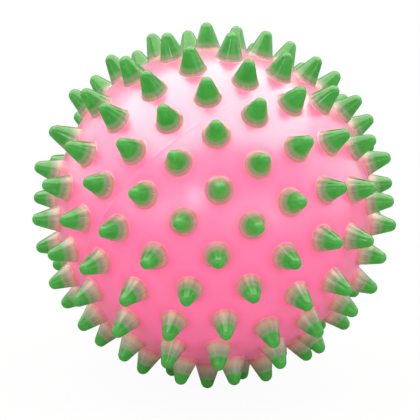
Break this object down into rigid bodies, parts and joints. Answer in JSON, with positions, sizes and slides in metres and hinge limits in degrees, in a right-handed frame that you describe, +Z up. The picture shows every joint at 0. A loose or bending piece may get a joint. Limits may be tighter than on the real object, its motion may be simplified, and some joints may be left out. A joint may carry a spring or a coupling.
{
  "type": "sensory ball",
  "caption": "Soft hollow vinyl ball covered in rings of round-ended two-colour spikes, with a pull-out needle valve plug, for touch play and hand massage.",
  "frame": {"origin": "the ball's centre", "axes": "+Z up as the ball stands on four of its spikes, -Y towards the side that the picture shows, +X to the right of that view"},
  "size_m": [0.0894, 0.0892, 0.0885],
  "materials": {
    "pink_vinyl": "satin",
    "green_vinyl": "satin",
    "seat_vinyl": "satin",
    "plug_rubber": "satin"
  },
  "bodies": {
    "ball": {"ball_skin": "pink_vinyl", "front_pole_tip": "green_vinyl", "front_ring_1_tips": "green_vinyl", "front_ring_2_tips": "green_vinyl", "front_ring_3_tips": "green_vinyl", "front_ring_4_tips": "green_vinyl", "front_ring_5_tips": "green_vinyl", "back_ring_5_tips": "green_vinyl", "back_ring_4_tips": "green_vinyl", "back_ring_3_tips": "green_vinyl", "back_ring_2_tips": "green_vinyl", "back_ring_1_tips": "green_vinyl", "valve_seat": "seat_vinyl"},
    "plug": {"valve_plug": "plug_rubber"}
  },
  "joints": [
    {"name": "plug_pull", "type": "slide", "parent": "ball", "child": "plug", "axis": [-0.5961, 0.5961, 0.5378], "range_m": [0, 0.02]}
  ]
}
